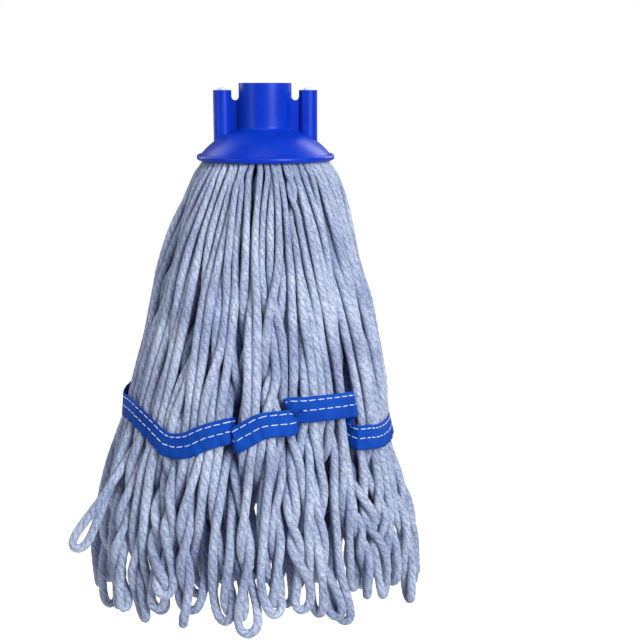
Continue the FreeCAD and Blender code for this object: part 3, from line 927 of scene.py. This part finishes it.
# %% Stitches
STITCH_LENGTH = 4.6 * MM
THREAD_R = 0.34 * MM
THREAD_PITCH = 2.6 * MM             # one turn of the thread's three plies
STITCH_STEPS = 7


def stitch_row(name, drop):
    """Arches of thread along the tape. The lift is the sine of half a turn over the stitch, to the power
    0.6, and each stitch slants a little by chance."""
    count = int(TAPE_LENGTH / STITCH_PITCH)
    share = np.linspace(0, 1, STITCH_STEPS)
    parts = []
    for k in range(count):
        slant = rng.uniform(-0.35, 0.35) * MM
        run = k * STITCH_PITCH + share * STITCH_LENGTH
        height = TAPE_WIDTH / 2 - drop + slant * (share - 0.5)
        lift = TAPE_THICK / 2 - THREAD_R * 0.9 + 1.25 * THREAD_R * np.sin(math.pi * share) ** 0.6
        path = tape_surface(run, height, lift)
        up = tape_up[int(run[0] / TAPE_LENGTH * TAPE_STEPS) % TAPE_STEPS]
        radius = np.full(STITCH_STEPS, THREAD_R)
        parts.append(tube_arrays(path, up, radius, plies=3, pitch=THREAD_PITCH, groove=0.12, section=6))
    row = make_mesh(name, parts)
    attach(row, HEAD)
    return row


upper_row = stitch_row("upper_stitches", ROW_DROPS[0])
lower_row = stitch_row("lower_stitches", ROW_DROPS[1])
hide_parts("stitch_row_upper")
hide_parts("stitch_row_lower")
print(int(TAPE_LENGTH / STITCH_PITCH), "stitches in each row")

# %% [markdown]
# ## Materials: shared helpers
# Colours are written as sRGB hex and turned to linear once. A material is a principled shader with a few
# nodes in front of it, and one helper adds a node with its settings and links.

# %% Helpers


def colour(text):
    """sRGB hex to linear RGBA: below 0.04045 divide by 12.92, above it ((c + 0.055) / 1.055) to the 2.4."""
    parts = [int(text[k:k + 2], 16) / 255 for k in (0, 2, 4)]
    return [c / 12.92 if c <= 0.04045 else ((c + 0.055) / 1.055) ** 2.4 for c in parts] + [1.0]


def new_material(name, **settings):
    """A material whose principled shader has the given settings, and its node tree."""
    made = bpy.data.materials.new(name)
    made.use_nodes = True
    shader = made.node_tree.nodes["Principled BSDF"]
    for key, value in settings.items():
        shader.inputs[key.replace("_", " ")].default_value = value
    return made, made.node_tree, shader


def add(tree, kind, settings=None, **links):
    """Adds a node. Settings name its properties or input sockets, and links feed its inputs by name, with
    _0 to _2 for inputs that share a name or are known by number."""
    node = tree.nodes.new(kind)
    for key, value in (settings or {}).items():
        if hasattr(node, key):
            setattr(node, key, value)
        else:
            node.inputs[int(key) if key.isdigit() else key].default_value = value
    for key, source in links.items():
        target = node.inputs[int(key[1:])] if key[0] == "_" else node.inputs[key.replace("_", " ")]
        tree.links.new(source, target)
    return node


def set_ramp(node, low, high, start=0.0, end=1.0):
    """Gives a colour ramp its two colours and the places where they lie."""
    for stop, text, position in zip(node.color_ramp.elements, (low, high), (start, end)):
        stop.color = colour(text)
        stop.position = position


# %% [markdown]
# ## Yarn finish
# The yarn is a soft cotton blend, dyed pale periwinkle. Light sinks into it, so it is rough, with the faint
# rim of light that loose fibres give. The grooves between plies get a painted shade, and single fibres, drawn
# 0.35 mm apart because real ones are too fine to show, run along the plies. Yarn that lies behind the rest of
# the bundle gets a deeper painted shade, standing in for the shade inside the bundle.

# %% Yarn material
yarn, tree, shader = new_material("spun_cotton_yarn", Roughness=0.85, Sheen_Weight=0.35,
                                  Sheen_Roughness=0.45, IOR=1.45)
where = add(tree, "ShaderNodeUVMap", {"uv_map": "weave"})
turn_and_run = add(tree, "ShaderNodeSeparateXYZ", _0=where.outputs["UV"])
twist = add(tree, "ShaderNodeMath", {"operation": "MULTIPLY_ADD", "1": 1 / PLY_PITCH},
            _0=turn_and_run.outputs["Y"], _2=turn_and_run.outputs["X"])
place = add(tree, "ShaderNodeTexCoord")
# noise of four sizes in millimetres, with its detail: slubs, faded patches, white flecks and felt
slubs, patches, flecks, felt = [
    add(tree, "ShaderNodeTexNoise", {"Scale": 1 / (size * MM), "Detail": detail},
        Vector=place.outputs["Object"])
    for size, detail in ((5, 2.0), (26, 2.0), (2.1, 1.0), (1.5, 2.0))]
uneven_twist = add(tree, "ShaderNodeMath", {"operation": "MULTIPLY_ADD", "1": 0.45},
                   _0=slubs.outputs["Fac"], _2=twist.outputs[0])
phase = add(tree, "ShaderNodeMath", {"operation": "MULTIPLY", "1": PLIES * math.pi},
            _0=uneven_twist.outputs[0])
wave = add(tree, "ShaderNodeMath", {"operation": "SINE"}, _0=phase.outputs[0])
crown = add(tree, "ShaderNodeMath", {"operation": "ABSOLUTE"}, _0=wave.outputs[0])
FIBRE = 0.35 * MM
across = add(tree, "ShaderNodeMath", {"operation": "MULTIPLY", "1": 2 * math.pi * YARN_R / FIBRE},
             _0=twist.outputs[0])
lengthwise = add(tree, "ShaderNodeMath", {"operation": "MULTIPLY", "1": 1 / (9 * MM)},
                 _0=turn_and_run.outputs["Y"])
fibre_place = add(tree, "ShaderNodeCombineXYZ", _0=across.outputs[0], _1=lengthwise.outputs[0])
fibres = add(tree, "ShaderNodeTexNoise", {"Scale": 1.0, "Detail": 3.0, "Roughness": 0.6},
             Vector=fibre_place.outputs[0])
body = add(tree, "ShaderNodeValToRGB", _0=patches.outputs["Fac"])
set_ramp(body, "9BA9CB", "C6D2EA", 0.35, 0.68)
# painted shade: the grooves between plies are coloured darker, standing in for the shade that falls in them
groove_shade = add(tree, "ShaderNodeValToRGB", _0=crown.outputs[0])
set_ramp(groove_shade, "C4CCE2", "FFFFFF", 0.0, 0.85)
dye_and_groove_shade = add(tree, "ShaderNodeMix", {"data_type": "RGBA", "blend_type": "MULTIPLY"},
           _6=body.outputs["Color"], _7=groove_shade.outputs["Color"])
dye_and_groove_shade.inputs[0].default_value = 1.0
streaks = add(tree, "ShaderNodeMapRange",
              {"From Min": 0.32, "From Max": 0.68, "To Min": 0.6, "To Max": 1.24},
              Value=fibres.outputs["Fac"])
streaked = add(tree, "ShaderNodeVectorMath", {"operation": "SCALE"}, _0=dye_and_groove_shade.outputs[2],
               Scale=streaks.outputs["Result"])
felt_tone = add(tree, "ShaderNodeMapRange",
                {"From Min": 0.3, "From Max": 0.7, "To Min": 0.74, "To Max": 1.22},
                Value=felt.outputs["Fac"])
felted = add(tree, "ShaderNodeVectorMath", {"operation": "SCALE"}, _0=streaked.outputs["Vector"],
             Scale=felt_tone.outputs["Result"])
fleck_mask = add(tree, "ShaderNodeMapRange", {"From Min": 0.71, "From Max": 0.77, "To Max": 0.7},
                 Value=flecks.outputs["Fac"])
flecked = add(tree, "ShaderNodeMix", {"data_type": "RGBA"}, _0=fleck_mask.outputs["Result"],
              _6=felted.outputs["Vector"])
flecked.inputs[7].default_value = colour("E6ECF8")
# painted shade: yarn behind the bundle's outline is multiplied towards deep blue 7D8CBA, standing in for the
# shade inside the bundle
painted_depth_shade = add(tree, "ShaderNodeAttribute", {"attribute_name": "painted_depth_shade"})
depth_shaded_colour = add(tree, "ShaderNodeMix", {"data_type": "RGBA", "blend_type": "MULTIPLY"},
              _0=painted_depth_shade.outputs["Fac"], _6=flecked.outputs[2])
depth_shaded_colour.inputs[7].default_value = colour("7D8CBA")
tree.links.new(depth_shaded_colour.outputs[2], shader.inputs["Base Color"])
lumps = add(tree, "ShaderNodeBump", {"Strength": 0.7, "Distance": 1.6 * MM}, Height=slubs.outputs["Fac"])
fuzz = add(tree, "ShaderNodeBump", {"Strength": 0.7, "Distance": 0.4 * MM}, Height=fibres.outputs["Fac"],
           Normal=lumps.outputs["Normal"])
nap = add(tree, "ShaderNodeBump", {"Strength": 0.9, "Distance": 0.7 * MM}, Height=felt.outputs["Fac"],
          Normal=fuzz.outputs["Normal"])
tree.links.new(nap.outputs["Normal"], shader.inputs["Normal"])
for piece in strand_pieces + [folds]:
    piece.data.materials.append(yarn)
print("yarn finish on", len(strand_pieces) + 1, "pieces")

# %% [markdown]
# ## Tape and thread finishes
# The tape is a tightly woven polyester twill, so it shows fine slanting ribs, drawn 1.8 mm apart because
# real ones are too fine to show, and shines a little more than the yarn. The thread is white, and its colour
# has a painted blue cast that stands in for light from the tape round it; its three twisted plies show as
# tiny slanting bands.

# %% Tape and thread materials
twill, tree, shader = new_material("polyester_twill_tape", Roughness=0.8, Specular_IOR_Level=0.2, IOR=1.5)
where = add(tree, "ShaderNodeUVMap", {"uv_map": "weave"})
rib_place = add(tree, "ShaderNodeMapping", {"Rotation": (0.0, 0.0, math.radians(38))},
                Vector=where.outputs["UV"])
RIB = 1.8 * MM
ribs = add(tree, "ShaderNodeTexWave",
           {"wave_profile": "SIN", "bands_direction": "X", "Scale": 1 / RIB / 20 * 2 * math.pi,
            "Distortion": 1.2, "Detail": 2.0, "Detail Scale": 2.0},
           Vector=rib_place.outputs["Vector"])
place = add(tree, "ShaderNodeTexCoord")
worn = add(tree, "ShaderNodeTexNoise", {"Scale": 1 / (14 * MM), "Detail": 3.0},
           Vector=place.outputs["Object"])
tone = add(tree, "ShaderNodeValToRGB", _0=worn.outputs["Fac"])
set_ramp(tone, "00389E", "044CB4", 0.3, 0.7)
rib_tone = add(tree, "ShaderNodeMapRange", {"To Min": 0.86, "To Max": 1.1}, Value=ribs.outputs["Fac"])
ribbed = add(tree, "ShaderNodeVectorMath", {"operation": "SCALE"}, _0=tone.outputs["Color"],
             Scale=rib_tone.outputs["Result"])
tree.links.new(ribbed.outputs["Vector"], shader.inputs["Base Color"])
weave_bump = add(tree, "ShaderNodeBump", {"Strength": 0.35, "Distance": 0.25 * MM},
                 Height=ribs.outputs["Fac"])
tree.links.new(weave_bump.outputs["Normal"], shader.inputs["Normal"])
tape.data.materials.append(twill)

thread, tree, shader = new_material("polyester_sewing_thread", Roughness=0.5, Sheen_Weight=0.2, IOR=1.5)
where = add(tree, "ShaderNodeUVMap", {"uv_map": "weave"})
thread_twist = add(tree, "ShaderNodeMapping",
                   {"Scale": (1.0, 1 / THREAD_PITCH, 1.0), "Rotation": (0.0, 0.0, math.radians(45))},
                   Vector=where.outputs["UV"])
strands = add(tree, "ShaderNodeTexWave", {"Scale": 0.5}, Vector=thread_twist.outputs["Vector"])
# painted light: the white thread is tinted blue, standing in for light from the tape round it
thread_tone = add(tree, "ShaderNodeValToRGB", _0=strands.outputs["Fac"])
set_ramp(thread_tone, "B2C4EC", "E2EBFB")
tree.links.new(thread_tone.outputs["Color"], shader.inputs["Base Color"])
thread_bump = add(tree, "ShaderNodeBump", {"Strength": 0.3, "Distance": 0.1 * MM},
                  Height=strands.outputs["Fac"])
tree.links.new(thread_bump.outputs["Normal"], shader.inputs["Normal"])
for row in (upper_row, lower_row):
    row.data.materials.append(thread)
print("finishes:", yarn.name, twill.name, thread.name)

# %% [markdown]
# ## Moulded plastics
# The socket is injection-moulded polypropylene from a polished mould: deep blue, glossy, with the faint
# uneven flow that keeps reflections from being perfect. The clamp plate is the same plastic without dye.

# %% Plastic materials


def moulded(name, deep, light, roughness, **more):
    """Glossy plastic: a cloudy tint 18 mm wide, roughness that wanders by a few hundredths, and two bumps,
    the soft sink marks of the mould and its fine grain."""
    made, tree, shader = new_material(name, IOR=1.49, Specular_IOR_Level=0.24, **more)
    place = add(tree, "ShaderNodeTexCoord")
    cloud, sinks, grain = [
        add(tree, "ShaderNodeTexNoise", {"Scale": 1 / (size * MM), "Detail": detail},
            Vector=place.outputs["Object"])
        for size, detail in ((18, 3.0), (9, 1.0), (0.8, 2.0))]
    tint = add(tree, "ShaderNodeValToRGB", _0=cloud.outputs["Fac"])
    set_ramp(tint, deep, light, 0.3, 0.7)
    tree.links.new(tint.outputs["Color"], shader.inputs["Base Color"])
    gloss = add(tree, "ShaderNodeMapRange", {"To Min": roughness - 0.04, "To Max": roughness + 0.06},
                Value=cloud.outputs["Fac"])
    tree.links.new(gloss.outputs["Result"], shader.inputs["Roughness"])
    broad = add(tree, "ShaderNodeBump", {"Strength": 0.25, "Distance": 0.5 * MM},
                Height=sinks.outputs["Fac"])
    fine = add(tree, "ShaderNodeBump", {"Strength": 0.08, "Distance": 0.1 * MM},
               Height=grain.outputs["Fac"], Normal=broad.outputs["Normal"])
    tree.links.new(fine.outputs["Normal"], shader.inputs["Normal"])
    return made


def refinish(node, material):
    """Gives a carried-over part its finish."""
    part = frame["nodes"][node]
    part.data.materials.clear()
    part.data.materials.append(material)


refinish("socket", moulded("blue_polypropylene", "002EB2", "003AC0", 0.34))
refinish("yarn_retainer", moulded("natural_polypropylene", "CFD6E0", "E2E7EF", 0.3, Subsurface_Weight=0.2))

# %% [markdown]
# ## Floor and light
# A pale floor lies well below the hanging yarn. The light is a broad soft box at the front right, a narrow
# strip at the left, one behind on each side, one above, and a soft fill from all round. The camera sees
# floor and sky as pure white, while the light they give the mop is weaker.

# %% Floor and light
FLOOR_Z = -2.0
MOP_MIDDLE = np.array([0.0, 0.0, -0.17])


def make_floor():
    """A wide flat square. It glows white for the camera and less for the mop."""
    mesh = bpy.data.meshes.new("floor")
    corners = [(-9, -9, FLOOR_Z), (9, -9, FLOOR_Z), (9, 9, FLOOR_Z), (-9, 9, FLOOR_Z)]
    mesh.from_pydata(corners, [], [(0, 1, 2, 3)])
    made = bpy.data.objects.new("floor", mesh)
    bpy.context.scene.collection.objects.link(made)
    pale, tree, shader = new_material("pale_floor", Base_Color=colour("EDEEF0"), Roughness=0.9,
                                      Emission_Color=colour("FFFFFF"))
    seen = add(tree, "ShaderNodeLightPath")
    glow = add(tree, "ShaderNodeMapRange", {"To Min": 0.3, "To Max": 1.0},
               Value=seen.outputs["Is Camera Ray"])
    tree.links.new(glow.outputs["Result"], shader.inputs["Emission Strength"])
    mesh.materials.append(pale)


def soft_box(name, azimuth, height, distance, wide, tall, watts):
    """An area light that faces the mop from an azimuth, with 0 at the front, at a height and distance."""
    data = bpy.data.lights.new(name, "AREA")
    data.shape = "RECTANGLE"
    data.size, data.size_y, data.energy = wide, tall, watts
    made = bpy.data.objects.new(name, data)
    a = math.radians(azimuth)
    made.location = (distance * math.sin(a), -distance * math.cos(a), height)
    toward = MOP_MIDDLE - np.array(made.location)
    made.rotation_euler = (math.atan2(math.hypot(toward[0], toward[1]), -toward[2]), 0,
                           math.atan2(toward[1], toward[0]) - math.pi / 2)
    bpy.context.scene.collection.objects.link(made)


make_floor()
soft_box("key_box", 34, 0.55, 1.5, 0.6, 1.0, 30)
soft_box("left_strip", -58, 0.35, 1.4, 0.35, 1.4, 5)
soft_box("back_strip", -125, 0.5, 1.3, 0.4, 1.4, 8)
soft_box("back_right", 140, 0.6, 1.4, 0.5, 1.2, 10)
soft_box("top_box", 0, 1.4, 0.5, 0.8, 0.8, 3)
print(len(bpy.data.lights), "soft boxes")

# %% Sky
world = bpy.data.worlds.new("studio")
world.use_nodes = True
sky = world.node_tree
seen = add(sky, "ShaderNodeLightPath")
glow = add(sky, "ShaderNodeMapRange", {"To Min": 0.15, "To Max": 1.0}, Value=seen.outputs["Is Camera Ray"])
sky.links.new(glow.outputs["Result"], sky.nodes["Background"].inputs["Strength"])
sky.nodes["Background"].inputs["Color"].default_value = colour("FFFFFF")
bpy.context.scene.world = world
bpy.context.scene.view_settings.view_transform = "Standard"
